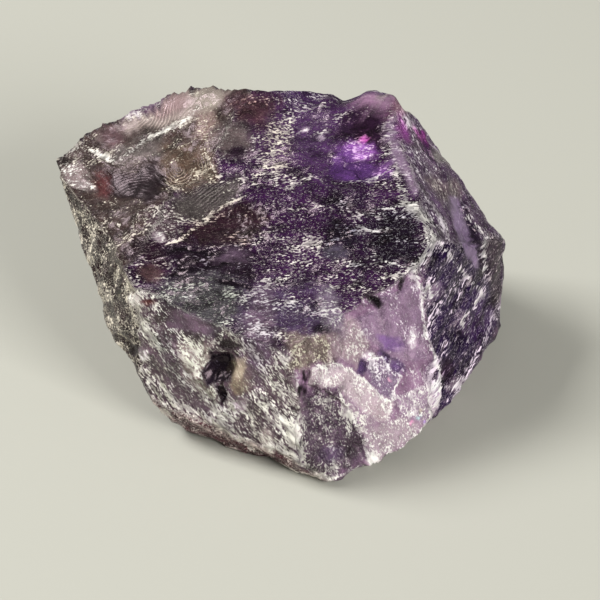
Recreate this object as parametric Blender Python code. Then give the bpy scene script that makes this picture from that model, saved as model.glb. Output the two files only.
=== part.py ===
"""A lump of rough amethyst: one broken piece of clear purple quartz, about 46 mm wide, 36 mm deep and
25 mm high, standing on its flat underside."""

from math import cos, radians, sin

import bmesh
import bpy
import numpy as np

MM = 0.001
TRIANGLES = 9000
SPHERE_CUTS = 7
GROUND_SNAP = 0.05

# Driving dimensions, in millimetres. HEART is the point inside the stone from which every fracture
# face is measured, HEART[2] above the surface that the stone stands on.
HEART = np.array([-0.25, -2.6, 12.0])
EDGE_ROUNDING = 0.10
ROUGHNESS = 0.12

# The front view, in which the features below are placed: it looks down 40 degrees along +Y at
# VIEW_AIM from VIEW_FAR away. A place in it is (right, up) of its middle.
VIEW_SLOPE = radians(40)
VIEW_AIM = np.array([1.75, -4.1, 12.0])
VIEW_FAR = 350.0
VIEW_OUT = np.array([0.0, -cos(VIEW_SLOPE), sin(VIEW_SLOPE)])
VIEW_UP = np.array([0.0, sin(VIEW_SLOPE), cos(VIEW_SLOPE)])

# Fracture faces: the bearing of the outward normal (0 is the front, 90 the right) and its slope
# above level, both in degrees, then the distance from HEART and how far the face waves.
FACES = {
    "crown": (0, 70, 6.2, 0.30),
    "bench": (-56, 71, 9.9, 0.35),
    "right_shoulder": (81, 46, 15.0, 0.25),
    "right_cheek": (56, 17, 14.1, 0.35),
    "right_end": (90, -3, 23.0, 0.40),
    "under_right": (65, -44, 19.6, 0.40),
    "under_front": (43, -40, 19.6, 0.30),
    "ledge": (33, 22, 10.9, 0.15),
    "brow": (4, 47, 9.8, 0.30),
    "nose": (6, 14, 13.1, 0.30),
    "front_left": (-24, 11, 11.3, 0.35),
    "left_wall": (-62, 6, 15.5, 0.50),
    "left_under": (-86, -31, 16.2, 0.50),
    "left_foot": (-88, -44, 15.3, 0.50),
    "brown_rim": (-28, -28, 15.7, 0.25),
    "left_tip": (-103, 0, 26.9, 0.50),
    "back_left_tip": (-150, 4, 23.7, 0.50),
    "back_left": (-167, 6, 20.8, 0.50),
    "back": (172, 10, 18.8, 0.50),
    "back_right": (130, 15, 21.6, 0.50),
    "back_foot": (175, -42, 18.0, 0.40),
    "toe": (0, -60, 18.0, 0.30),
    "tip_brow": (-108, 20, 26.3, 0.30),
    "base": (0, -90, HEART[2], 0.0),
}
LONG_WAVE = 6.0
SHORT_WAVE = 2.2
LEVEL_BORDER = 1.5

# Swellings of the outline, and hollows where the height is negative: place, reach, height.
LUMPS = (
    ((-21.4, 16.0), 2.0, 0.6),
    ((-15.0, 18.2), 3.6, 0.8),
    ((-9.6, 20.6), 2.4, 0.3),
    ((-1.5, 20.6), 4.0, 0.2),
    ((7.4, 20.4), 2.6, 1.4),
    ((4.4, 20.3), 0.9, -0.8),
    ((11.8, 17.2), 2.2, 0.5),
    ((14.0, 15.2), 2.0, 0.6),
    ((15.2, 12.2), 2.6, 0.3),
    ((20.3, 6.0), 1.6, 0.6),
    ((-21.6, 4.0), 2.6, -0.4),
    ((-15.6, -8.6), 2.6, -0.8),
)

# Chips along the edges of the faces: depth, width of the chipped border, length of a chip.
CHIP_DEPTH = 0.45
CHIP_BORDER = 0.5
CHIP_LENGTH = 1.3

# Shell-shaped scars of lost flakes: place, reach, depth.
SCARS = (
    ((-18.3, 11.5), 3.2, 0.55),
    ((-12.6, 12.2), 2.2, 0.40),
    ((-8.5, 9.2), 4.6, 0.80),
    ((-15.0, 17.0), 4.6, 0.55),
    ((-9.8, 14.0), 2.4, 0.50),
    ((7.4, 12.6), 2.2, 0.45),
    ((0.0, 18.6), 3.2, 0.50),
    ((16.6, 6.4), 3.0, 0.60),
    ((12.4, 15.2), 2.6, 0.40),
    ((-15.0, 6.5), 2.4, 0.40),
    ((-11.5, -10.5), 3.2, 0.40),
    ((1.5, -12.5), 3.6, 0.50),
    ((-1.0, -5.5), 3.2, 0.40),
    ((19.5, -2.0), 3.0, 0.40),
    ((-17.0, -6.5), 2.6, 0.50),
)

# Scars strewn all round at the golden angle: how many, the reach of the largest, the depth as a share
# of the reach, and how much smaller they are on the front, which has SCARS. Their rims wander.
STREWN_SCARS = (
    (18, 5.5, 0.20, 0.0),
    (150, 2.4, 0.15, 0.5),
)
GOLDEN_ANGLE = 137.5
FRONT_SCAR_DEPTH = 0.10
SCAR_WARP = 0.22
WARP_LENGTH = 1.8

# Pits: place, half width, half height, turn in degrees, depth. PIT_RIM is how far out the wall
# starts, as a share of the half width.
PIT_RIM = 1.35
PITS = (
    ((-8.4, -6.9), 1.9, 1.6, 20, 1.7),
    ((-7.9, -9.6), 0.6, 1.1, 10, 1.0),
    ((7.3, 0.2), 1.2, 0.7, 35, 0.8),
    ((10.4, 1.4), 1.0, 0.4, 40, 0.6),
    ((0.9, -8.8), 0.7, 1.3, 10, 0.7),
    ((5.9, -14.6), 0.7, 1.3, -30, 0.6),
    ((-16.6, -6.8), 0.9, 0.5, -45, 0.6),
)

# Slabs that stand proud, or recesses where the height is negative: height, outline. LEDGE is the
# raised face at the lower right, HOLLOW a recess in it, and GLOW a recess near the back.
LEDGE = (
    (5.0, -2.0), (7.0, -1.3), (7.8, 0.5), (9.8, 0.9), (10.6, 2.0), (11.6, 2.4), (12.2, 0.2),
    (12.4, -3.6), (13.5, -5.6), (14.2, -8.5), (13.7, -10.6), (11.9, -13.3), (7.0, -17.5),
    (5.8, -15.0), (4.4, -10.6), (2.6, -8.9), (0.6, -8.6), (1.2, -6.9), (3.4, -6.2), (4.0, -4.2),
)
HOLLOW = ((5.8, -6.0), (8.2, -5.4), (10.4, -6.6), (10.2, -8.4), (9.4, -9.8), (8.2, -9.8), (7.0, -8.4))
GLOW = ((4.6, 17.6), (8.2, 17.8), (8.6, 14.6), (9.4, 13.4), (7.6, 12.2), (4.4, 13.0), (4.0, 15.4))
SLABS = ((0.50, LEDGE), (-0.55, HOLLOW), (-0.70, GLOW))
SLAB_WALL = 0.25

# Fracture steps: height at the lip, how far behind it the height fades, and the lip from one end to
# the other, with the high side on its left.
STEP_WALL = 0.12
STEP_ENDS = 2.0
STEPS = (
    (0.45, 3.0, ((-20.5, 11.2), (-18.2, 12.0), (-17.0, 13.2), (-14.6, 14.8), (-12.2, 17.0),
                 (-10.0, 19.4))),
    (0.40, 2.4, ((-3.2, 11.6), (-5.7, 10.3), (-7.6, 9.4), (-9.0, 8.8), (-10.0, 7.6), (-11.4, 6.6),
                 (-13.2, 5.7))),
    (0.35, 1.8, ((-14.4, 9.2), (-16.0, 8.8), (-17.0, 6.8))),
    (0.50, 2.5, ((9.4, 17.6), (8.6, 19.4), (4.6, 18.4), (3.4, 16.4), (2.8, 12.4))),
    (0.35, 2.2, ((13.2, 5.0), (9.8, 4.2), (6.4, 3.4), (3.6, 4.4))),
    (0.30, 2.0, ((-3.0, -0.6), (-6.4, 0.2), (-10.0, 1.2), (-14.6, 0.8))),
)

# Stepped grain: place, half width, half height, height of a step. The steps are GRAIN_LENGTH long
# and GRAIN_PITCH apart, GRAIN_LEVELS of them to a swell.
GRAIN = (
    ((8.2, 7.6), 5.6, 5.6, 0.24),
    ((-8.4, 3.0), 6.0, 3.0, 0.20),
    ((3.0, 1.5), 8.0, 3.0, 0.14),
    ((1.0, 14.5), 4.5, 4.5, 0.12),
)
GRAIN_LENGTH = 5.0
GRAIN_PITCH = 2.0
GRAIN_LEVELS = 1.6
GRAIN_RISER = 0.4

# Grooves: half width, depth, and the points they run through.
GROOVES = (
    (0.35, 0.6, ((15.9, 10.2), (17.6, 6.4), (18.4, 3.2))),
)
GROOVE_RIM = 1.3

# The lines of slabs, steps, pits and grooves wander by FRAY over FRAY_LENGTH, and everything placed
# in the front view fades out over FRONT_FADE where the faces turn away from it.
FRAY = 0.3
FRAY_LENGTH = 0.9
FRONT_EDGE = -0.05
FRONT_FADE = 0.25


def toward(bearing, slope):
    """Unit vector (cos s sin b, -cos s cos b, sin s) of bearing b and slope s, in degrees."""
    b, s = np.radians(bearing), np.radians(slope)
    return np.stack([np.cos(s) * np.sin(b), -np.cos(s) * np.cos(b), np.sin(s)], axis=-1)


def noise(points, size, seed):
    """Smooth random values from -1 to 1: one at each corner of a cube grid, blended by
    6 f^5 - 15 f^4 + 10 f^3 across a cell."""
    cell = np.floor(points / size).astype(np.int64)
    f = points / size - cell
    f = f * f * f * (f * (f * 6 - 15) + 10)
    total = np.zeros(len(points))
    for corner in np.ndindex(2, 2, 2):
        at = (cell + np.array(corner)) * (374761393, 668265263, 2147483629)
        mixed = (at.sum(axis=1) + seed * 974711) & 0xFFFFFFFF
        mixed = ((mixed ^ (mixed >> 13)) * 1274126177) & 0xFFFFFFFF
        value = ((mixed ^ (mixed >> 16)) & 0xFFFF) / 32767.5 - 1
        total += np.prod(np.where(corner, f, 1 - f), axis=1) * value
    return total


def rise(x):
    """3 x^2 - 2 x^3, held at 0 below 0 and at 1 above 1."""
    x = np.clip(x, 0, 1)
    return x * x * (3 - 2 * x)


def front_view(points):
    """Places of the points in the front view: (x, up) times far / (far - out)."""
    q = points - VIEW_AIM
    scale = VIEW_FAR / (VIEW_FAR - q @ VIEW_OUT)
    return np.stack([q[:, 0] * scale, q @ VIEW_UP * scale], axis=-1)


def nearest_on(places, run):
    """Distance of each place to a line through points, on which side of it the place is
    (1 left, -1 right) and its distance to the nearer end."""
    near = np.full(len(places), np.inf)
    side = np.ones(len(places))
    for start, end in zip(run, run[1:]):
        along = np.subtract(end, start)
        off = places - start
        share = np.clip(off @ along / (along @ along), 0, 1)
        gap = off - share[:, None] * along
        length = np.hypot(*gap.T)
        left = along[0] * off[:, 1] - along[1] * off[:, 0]
        side = np.where(length < near, np.sign(left), side)
        near = np.minimum(near, length)
    ends = np.minimum(np.hypot(*(places - run[0]).T), np.hypot(*(places - run[-1]).T))
    return near, side, ends


def depth_inside(places, outline):
    """Distance to a closed outline, positive inside: a place is inside when a level line from it
    crosses the outline an odd number of times."""
    near, _, _ = nearest_on(places, outline + outline[:1])
    odd = np.zeros(len(places), bool)
    for (x0, y0), (x1, y1) in zip(outline, outline[1:] + outline[:1]):
        if y0 == y1:
            continue
        spans = (places[:, 1] < y0) != (places[:, 1] < y1)
        crossing = x0 + (places[:, 1] - y0) / (y1 - y0) * (x1 - x0)
        odd ^= spans & (places[:, 0] < crossing)
    return np.where(odd, near, -near)


def fracture_faces(ways):
    """Where each direction u from HEART leaves each face: d / (n.u), with d waved by noise. With it
    comes the nearest face's index, its normal and the distances to the first two faces."""
    faces = np.array(list(FACES.values()))
    normals = toward(faces[:, 0], faces[:, 1])
    lean = np.maximum(ways @ normals.T, 0.05)
    flat = HEART + ways * (faces[:, 2] / lean).min(axis=1)[:, None]
    long_waves = np.stack([noise(flat, LONG_WAVE, 11 + i) for i in range(len(faces))], axis=1)
    short_waves = np.stack([noise(flat, SHORT_WAVE, 51 + i) for i in range(len(faces))], axis=1)
    reach = (faces[:, 2] + faces[:, 3] * (long_waves + 0.5 * short_waves)) / lean
    first, second = np.partition(reach, 1, axis=1)[:, :2].T
    face = reach.argmin(axis=1)
    return reach, face, normals[face], first, second


def scarred(ways, r, skin, place, normal, facing):
    """r with the scars taken out. A scar is a sphere's cap of a given reach and depth, and the
    direction u enters it at b - sqrt(b^2 - c.c + R^2), where c is its centre and b = c.u."""
    warp = SCAR_WARP * noise(skin, WARP_LENGTH, 61)

    def scar(at, reach, depth):
        radius = (reach * reach + depth * depth) / (2 * depth)
        centre = skin[at] - HEART + normal[at] * (radius - depth)
        b = ways @ centre
        left = b * b - centre @ centre + radius * radius
        return np.where((left > 0) & (b > 0), b - np.sqrt(np.maximum(left, 0)) + warp, np.inf)

    for spot, size, depth in SCARS:
        r = np.minimum(r, scar(shown_at(spot, place, facing), size, depth))
    for count, largest, share, front_share in STREWN_SCARS:
        for i in range(count):
            way = toward(GOLDEN_ANGLE * i, np.degrees(np.arcsin(1 - (2 * i + 1) / count)))
            at = (ways @ way).argmax()
            chance = 0.5 + 0.5 * noise(np.array([[i * 0.73, count, 0.5]]), 1.0, 5)[0]
            size = largest * (0.5 + 0.5 * chance)
            if facing[at] < 0.3:
                r = np.minimum(r, scar(at, size, share * size))
            elif front_share:
                size *= front_share
                r = np.minimum(r, scar(at, size, FRONT_SCAR_DEPTH * size))
    return r


def shown_at(spot, place, facing):
    """Index of the front-facing point that the front view shows at a place."""
    hidden = 99 * (facing < FRONT_EDGE)
    return (np.hypot(*(place - spot).T) + hidden).argmin()


def oval(places, middle, wide, high, turn=0.0):
    """Distance from the middle of a turned oval, 1 on its edge."""
    x, y = (places - middle).T
    c, s = cos(radians(turn)), sin(radians(turn))
    return np.hypot((x * c + y * s) / wide, (y * c - x * s) / high)


def relief(skin, place, facing):
    """Height that steps, slabs, pits, grooves and grain add at each point of the front."""
    fray = np.stack([noise(skin, FRAY_LENGTH, 91), noise(skin, FRAY_LENGTH, 92)], axis=1)
    frayed = place + FRAY * fray
    height = np.zeros(len(place))
    for step, fade, lip in STEPS:
        near, side, ends = nearest_on(frayed, lip)
        cliff = 0.5 + 0.5 * np.clip(side * near / STEP_WALL, -1, 1)
        height += step * cliff * np.exp(-near / fade) * rise(ends / STEP_ENDS)
    for step, outline in SLABS:
        height += step * rise(depth_inside(frayed, outline) / SLAB_WALL + 0.5)
    for middle, wide, high, turn, depth in PITS:
        height -= depth * rise(PIT_RIM - oval(frayed, middle, wide, high, turn))
    for half, depth, run in GROOVES:
        near, _, ends = nearest_on(frayed, run)
        height -= depth * rise(GROOVE_RIM - near / half) * rise(ends + 0.3)
    grain = np.column_stack([place / (GRAIN_LENGTH, GRAIN_PITCH), np.zeros(len(place))])
    level = GRAIN_LEVELS * (noise(grain, 1.0, 31) + 0.5 * noise(grain, 0.5, 32))
    stair = np.floor(level) + rise((level - np.floor(level)) / GRAIN_RISER) - level
    for middle, wide, high, step in GRAIN:
        height += step * stair * rise(1.5 - oval(place, middle, wide, high))
    return height * rise((facing - FRONT_EDGE) / FRONT_FADE)


def stone(ways):
    """Points of the stone in unit directions from HEART: the nearest fracture face, with its edges
    rounded (a soft minimum of the reaches), swellings (Gaussians), chips, scars, relief and a fine
    roughness, and with the base kept level."""
    reach, face, normal, first, second = fracture_faces(ways)
    soft = np.exp(-(reach - first[:, None]) / EDGE_ROUNDING).sum(axis=1)
    r = first - EDGE_ROUNDING * np.log(soft)
    skin = HEART + ways * r[:, None]
    place = front_view(skin)
    facing = normal @ VIEW_OUT
    for spot, size, height in LUMPS:
        apart = skin - skin[shown_at(spot, place, facing)]
        r = r + height * np.exp(-(apart * apart).sum(axis=1) / size**2)
    skin = HEART + ways * r[:, None]
    chip = rise(noise(skin, CHIP_LENGTH, 81) + 0.3) * np.exp((first - second) / CHIP_BORDER)
    r = scarred(ways, r - CHIP_DEPTH * chip, skin, place, normal, facing)
    r = r + relief(skin, place, facing)
    r = r + ROUGHNESS * (noise(skin, 1.5, 71) + 0.6 * noise(skin, 0.7, 72))
    base = reach[:, -1]
    level = (face == len(FACES) - 1) * rise((second - first) / LEVEL_BORDER)
    return HEART + ways * (np.minimum(r, base) * (1 - level) + base * level)[:, None]


# Start from an empty scene
for thing in list(bpy.data.objects):
    bpy.data.objects.remove(thing)

# Amethyst: violet quartz, clear inside and matt on its broken skin
amethyst = bpy.data.materials.new("amethyst")
amethyst.use_nodes = True
surface = amethyst.node_tree.nodes["Principled BSDF"]
surface.inputs["Base Color"].default_value = (0.16, 0.09, 0.22, 1)
surface.inputs["Metallic"].default_value = 0.0
surface.inputs["Roughness"].default_value = 0.35
surface.inputs["IOR"].default_value = 1.544
surface.inputs["Transmission Weight"].default_value = 0.5

# The stone: a fine sphere whose points are moved out to the stone's surface
ball = bmesh.new()
bmesh.ops.create_icosphere(ball, subdivisions=SPHERE_CUTS, radius=1.0)
directions = np.array([vertex.co for vertex in ball.verts])
directions /= np.linalg.norm(directions, axis=1, keepdims=True)
for vertex, point in zip(ball.verts, stone(directions) * MM):
    vertex.co = point
mesh = bpy.data.meshes.new("amethyst")
ball.to_mesh(mesh)
ball.free()
mesh.materials.append(amethyst)
lump = bpy.data.objects.new("amethyst", mesh)
collection = bpy.data.collections.new("rough amethyst")
bpy.context.scene.collection.children.link(collection)
collection.objects.link(lump)

# Fewer triangles: flat stretches merge, and the edges of faces, scars and steps stay
thinned = lump.modifiers.new("thinned", "DECIMATE")
thinned.decimate_type = "COLLAPSE"
thinned.ratio = TRIANGLES / len(mesh.polygons)
thin = bpy.data.meshes.new_from_object(lump.evaluated_get(bpy.context.evaluated_depsgraph_get()))
thin.name = "amethyst thinned"
lump.modifiers.remove(thinned)
lump.data = thin

# The underside stands flat: thinning moves its points a little, so they go back on the ground
for vertex in thin.vertices:
    if vertex.co.z < GROUND_SNAP * MM:
        vertex.co.z = 0.0
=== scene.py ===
from math import cos, radians, sin

import bpy
import numpy as np
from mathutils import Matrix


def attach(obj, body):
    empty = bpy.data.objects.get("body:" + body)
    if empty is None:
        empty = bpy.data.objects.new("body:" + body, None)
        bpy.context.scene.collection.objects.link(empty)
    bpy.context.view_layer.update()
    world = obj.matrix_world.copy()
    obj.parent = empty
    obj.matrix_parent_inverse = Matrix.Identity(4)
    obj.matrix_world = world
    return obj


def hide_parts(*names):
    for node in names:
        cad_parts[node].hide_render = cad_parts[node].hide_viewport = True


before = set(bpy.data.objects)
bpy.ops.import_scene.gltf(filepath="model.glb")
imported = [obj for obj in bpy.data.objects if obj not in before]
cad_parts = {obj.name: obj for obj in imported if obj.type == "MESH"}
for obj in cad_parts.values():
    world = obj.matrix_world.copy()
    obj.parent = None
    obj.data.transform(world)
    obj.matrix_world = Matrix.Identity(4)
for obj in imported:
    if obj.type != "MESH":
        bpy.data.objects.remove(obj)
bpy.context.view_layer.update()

# The amethyst: the whole stone is one lump of violet quartz, broken out of a vein by hand. Large
# fracture faces meet at chipped edges, and shell-shaped scars, a raised ledge, pits and a stepped
# grain cover them. It is made as distances from a point in its heart.

# Driving dimensions, in millimetres. HEART is the point inside the stone from which every fracture
# face is measured, HEART[2] above the surface that the stone stands on. Edges are rounded off by
# EDGE_ROUNDING, and the skin has a fine roughness ROUGHNESS high with crumbs of CRUMB on it.
HEART = np.array([-0.25, -2.6, 12.0])
EDGE_ROUNDING = 0.10
ROUGHNESS = 0.12
CRUMB = 0.04

# The front view, in which the features below are placed: it looks down 40 degrees along +Y at
# VIEW_AIM from VIEW_FAR away. A place in it is (right, up) of its middle.
VIEW_SLOPE = radians(40)
VIEW_AIM = np.array([1.75, -4.1, 12.0])
VIEW_FAR = 350.0
VIEW_OUT = np.array([0.0, -cos(VIEW_SLOPE), sin(VIEW_SLOPE)])
VIEW_UP = np.array([0.0, sin(VIEW_SLOPE), cos(VIEW_SLOPE)])

# Fracture faces: the bearing of the outward normal (0 is the front, 90 the right) and its slope
# above level, both in degrees, then the distance from HEART and how far the face waves.
FACES = {
    "crown": (0, 70, 6.2, 0.30),
    "bench": (-56, 71, 9.9, 0.35),
    "right_shoulder": (81, 46, 15.0, 0.25),
    "right_cheek": (56, 17, 14.1, 0.35),
    "right_end": (90, -3, 23.0, 0.40),
    "under_right": (65, -44, 19.6, 0.40),
    "under_front": (43, -40, 19.6, 0.30),
    "ledge": (33, 22, 10.9, 0.15),
    "brow": (4, 47, 9.8, 0.30),
    "nose": (6, 14, 13.1, 0.30),
    "front_left": (-24, 11, 11.3, 0.35),
    "left_wall": (-62, 6, 15.5, 0.50),
    "left_under": (-86, -31, 16.2, 0.50),
    "left_foot": (-88, -44, 15.3, 0.50),
    "brown_rim": (-28, -28, 15.7, 0.25),
    "left_tip": (-103, 0, 26.9, 0.50),
    "back_left_tip": (-150, 4, 23.7, 0.50),
    "back_left": (-167, 6, 20.8, 0.50),
    "back": (172, 10, 18.8, 0.50),
    "back_right": (130, 15, 21.6, 0.50),
    "back_foot": (175, -42, 18.0, 0.40),
    "toe": (0, -60, 18.0, 0.30),
    "tip_brow": (-108, 20, 26.3, 0.30),
    "base": (0, -90, HEART[2], 0.0),
}
LONG_WAVE = 6.0
SHORT_WAVE = 2.2
LEVEL_BORDER = 1.5

# Swellings of the outline, and hollows where the height is negative: place, reach, height.
LUMPS = (
    ((-21.4, 16.0), 2.0, 0.6),
    ((-15.0, 18.2), 3.6, 0.8),
    ((-9.6, 20.6), 2.4, 0.3),
    ((-1.5, 20.6), 4.0, 0.2),
    ((7.4, 20.4), 2.6, 1.4),
    ((4.4, 20.3), 0.9, -0.8),
    ((11.8, 17.2), 2.2, 0.5),
    ((14.0, 15.2), 2.0, 0.6),
    ((15.2, 12.2), 2.6, 0.3),
    ((20.3, 6.0), 1.6, 0.6),
    ((-21.6, 4.0), 2.6, -0.4),
    ((-15.6, -8.6), 2.6, -0.8),
)

# Chips along the edges of the faces: depth, width of the chipped border, length of a chip.
CHIP_DEPTH = 0.45
CHIP_BORDER = 0.5
CHIP_LENGTH = 1.3

# Shell-shaped scars of lost flakes: place, reach, depth.
SCARS = (
    ((-18.3, 11.5), 3.2, 0.55),
    ((-12.6, 12.2), 2.2, 0.40),
    ((-8.5, 9.2), 4.6, 0.80),
    ((-15.0, 17.0), 4.6, 0.55),
    ((-9.8, 14.0), 2.4, 0.50),
    ((7.4, 12.6), 2.2, 0.45),
    ((0.0, 18.6), 3.2, 0.50),
    ((16.6, 6.4), 3.0, 0.60),
    ((12.4, 15.2), 2.6, 0.40),
    ((-15.0, 6.5), 2.4, 0.40),
    ((-11.5, -10.5), 3.2, 0.40),
    ((1.5, -12.5), 3.6, 0.50),
    ((-1.0, -5.5), 3.2, 0.40),
    ((19.5, -2.0), 3.0, 0.40),
    ((-17.0, -6.5), 2.6, 0.50),
)

# Scars strewn all round at the golden angle: how many, the reach of the largest, the depth as a share
# of the reach, and how much smaller they are on the front, which has SCARS. Their rims wander.
STREWN_SCARS = (
    (18, 5.5, 0.20, 0.0),
    (150, 2.4, 0.15, 0.5),
)
GOLDEN_ANGLE = 137.5
FRONT_SCAR_DEPTH = 0.10
SCAR_WARP = 0.22
WARP_LENGTH = 1.8

# Pits: place, half width, half height, turn in degrees, depth. PIT_RIM is how far out the wall
# starts, as a share of the half width.
PIT_RIM = 1.35
PITS = (
    ((-8.4, -6.9), 1.9, 1.6, 20, 1.7),
    ((-7.9, -9.6), 0.6, 1.1, 10, 1.0),
    ((7.3, 0.2), 1.2, 0.7, 35, 0.8),
    ((10.4, 1.4), 1.0, 0.4, 40, 0.6),
    ((0.9, -8.8), 0.7, 1.3, 10, 0.7),
    ((5.9, -14.6), 0.7, 1.3, -30, 0.6),
    ((-16.6, -6.8), 0.9, 0.5, -45, 0.6),
)

# Slabs that stand proud, or recesses where the height is negative: height, outline. LEDGE is the
# raised face at the lower right, HOLLOW a recess in it, and GLOW a recess near the back.
LEDGE = (
    (5.0, -2.0), (7.0, -1.3), (7.8, 0.5), (9.8, 0.9), (10.6, 2.0), (11.6, 2.4), (12.2, 0.2),
    (12.4, -3.6), (13.5, -5.6), (14.2, -8.5), (13.7, -10.6), (11.9, -13.3), (7.0, -17.5),
    (5.8, -15.0), (4.4, -10.6), (2.6, -8.9), (0.6, -8.6), (1.2, -6.9), (3.4, -6.2), (4.0, -4.2),
)
HOLLOW = ((5.8, -6.0), (8.2, -5.4), (10.4, -6.6), (10.2, -8.4), (9.4, -9.8), (8.2, -9.8), (7.0, -8.4))
GLOW = ((4.6, 17.6), (8.2, 17.8), (8.6, 14.6), (9.4, 13.4), (7.6, 12.2), (4.4, 13.0), (4.0, 15.4))
SLABS = ((0.50, LEDGE), (-0.55, HOLLOW), (-0.70, GLOW))
SLAB_WALL = 0.25

# Fracture steps: height at the lip, how far behind it the height fades, and the lip from one end to
# the other, with the high side on its left.
STEP_WALL = 0.12
STEP_ENDS = 2.0
STEPS = (
    (0.45, 3.0, ((-20.5, 11.2), (-18.2, 12.0), (-17.0, 13.2), (-14.6, 14.8), (-12.2, 17.0),
                 (-10.0, 19.4))),
    (0.40, 2.4, ((-3.2, 11.6), (-5.7, 10.3), (-7.6, 9.4), (-9.0, 8.8), (-10.0, 7.6), (-11.4, 6.6),
                 (-13.2, 5.7))),
    (0.35, 1.8, ((-14.4, 9.2), (-16.0, 8.8), (-17.0, 6.8))),
    (0.50, 2.5, ((9.4, 17.6), (8.6, 19.4), (4.6, 18.4), (3.4, 16.4), (2.8, 12.4))),
    (0.35, 2.2, ((13.2, 5.0), (9.8, 4.2), (6.4, 3.4), (3.6, 4.4))),
    (0.30, 2.0, ((-3.0, -0.6), (-6.4, 0.2), (-10.0, 1.2), (-14.6, 0.8))),
)

# Stepped grain: place, half width, half height, height of a step. The steps are GRAIN_LENGTH long
# and GRAIN_PITCH apart, GRAIN_LEVELS of them to a swell.
GRAIN = (
    ((8.2, 7.6), 5.6, 5.6, 0.18),
    ((-8.4, 3.0), 6.0, 3.0, 0.16),
    ((3.0, 1.5), 8.0, 3.0, 0.10),
    ((1.0, 14.5), 4.5, 4.5, 0.08),
)
GRAIN_LENGTH = 3.4
GRAIN_PITCH = 1.0
GRAIN_LEVELS = 2.2
GRAIN_RISER = 0.3

# Grooves: half width, depth, and the points they run through.
GROOVES = (
    (0.35, 0.6, ((15.9, 10.2), (17.6, 6.4), (18.4, 3.2))),
)
GROOVE_RIM = 1.3

# The lines of slabs, steps, pits and grooves wander by FRAY over FRAY_LENGTH, and everything placed
# in the front view fades out over FRONT_FADE where the faces turn away from it.
FRAY = 0.3
FRAY_LENGTH = 0.9
FRONT_EDGE = -0.05
FRONT_FADE = 0.25


def toward(bearing, slope):
    """Unit vector (cos s sin b, -cos s cos b, sin s) of bearing b and slope s, in degrees."""
    b, s = np.radians(bearing), np.radians(slope)
    return np.stack([np.cos(s) * np.sin(b), -np.cos(s) * np.cos(b), np.sin(s)], axis=-1)


def noise(points, size, seed):
    """Smooth random values from -1 to 1: one at each corner of a cube grid, blended by
    6 f^5 - 15 f^4 + 10 f^3 across a cell."""
    cell = np.floor(points / size).astype(np.int64)
    f = points / size - cell
    f = f * f * f * (f * (f * 6 - 15) + 10)
    total = np.zeros(len(points))
    for corner in np.ndindex(2, 2, 2):
        at = (cell + np.array(corner)) * (374761393, 668265263, 2147483629)
        mixed = (at.sum(axis=1) + seed * 974711) & 0xFFFFFFFF
        mixed = ((mixed ^ (mixed >> 13)) * 1274126177) & 0xFFFFFFFF
        value = ((mixed ^ (mixed >> 16)) & 0xFFFF) / 32767.5 - 1
        total += np.prod(np.where(corner, f, 1 - f), axis=1) * value
    return total


def rise(x):
    """3 x^2 - 2 x^3, held at 0 below 0 and at 1 above 1."""
    x = np.clip(x, 0, 1)
    return x * x * (3 - 2 * x)


def front_view(points):
    """Places of the points in the front view: (x, up) times far / (far - out)."""
    q = points - VIEW_AIM
    scale = VIEW_FAR / (VIEW_FAR - q @ VIEW_OUT)
    return np.stack([q[:, 0] * scale, q @ VIEW_UP * scale], axis=-1)


def nearest_on(places, run):
    """Distance of each place to a line through points, on which side of it the place is
    (1 left, -1 right) and its distance to the nearer end."""
    near = np.full(len(places), np.inf)
    side = np.ones(len(places))
    for start, end in zip(run, run[1:]):
        along = np.subtract(end, start)
        off = places - start
        share = np.clip(off @ along / (along @ along), 0, 1)
        gap = off - share[:, None] * along
        length = np.hypot(*gap.T)
        left = along[0] * off[:, 1] - along[1] * off[:, 0]
        side = np.where(length < near, np.sign(left), side)
        near = np.minimum(near, length)
    ends = np.minimum(np.hypot(*(places - run[0]).T), np.hypot(*(places - run[-1]).T))
    return near, side, ends


def depth_inside(places, outline):
    """Distance to a closed outline, positive inside: a place is inside when a level line from it
    crosses the outline an odd number of times."""
    near, _, _ = nearest_on(places, outline + outline[:1])
    odd = np.zeros(len(places), bool)
    for (x0, y0), (x1, y1) in zip(outline, outline[1:] + outline[:1]):
        if y0 == y1:
            continue
        spans = (places[:, 1] < y0) != (places[:, 1] < y1)
        crossing = x0 + (places[:, 1] - y0) / (y1 - y0) * (x1 - x0)
        odd ^= spans & (places[:, 0] < crossing)
    return np.where(odd, near, -near)


def fracture_faces(ways):
    """Where each direction u from HEART leaves each face: d / (n.u), with d waved by noise. With it
    comes the nearest face's index, its normal and the distances to the first two faces."""
    faces = np.array(list(FACES.values()))
    normals = toward(faces[:, 0], faces[:, 1])
    lean = np.maximum(ways @ normals.T, 0.05)
    flat = HEART + ways * (faces[:, 2] / lean).min(axis=1)[:, None]
    long_waves = np.stack([noise(flat, LONG_WAVE, 11 + i) for i in range(len(faces))], axis=1)
    short_waves = np.stack([noise(flat, SHORT_WAVE, 51 + i) for i in range(len(faces))], axis=1)
    reach = (faces[:, 2] + faces[:, 3] * (long_waves + 0.5 * short_waves)) / lean
    first, second = np.partition(reach, 1, axis=1)[:, :2].T
    face = reach.argmin(axis=1)
    return reach, face, normals[face], first, second


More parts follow.
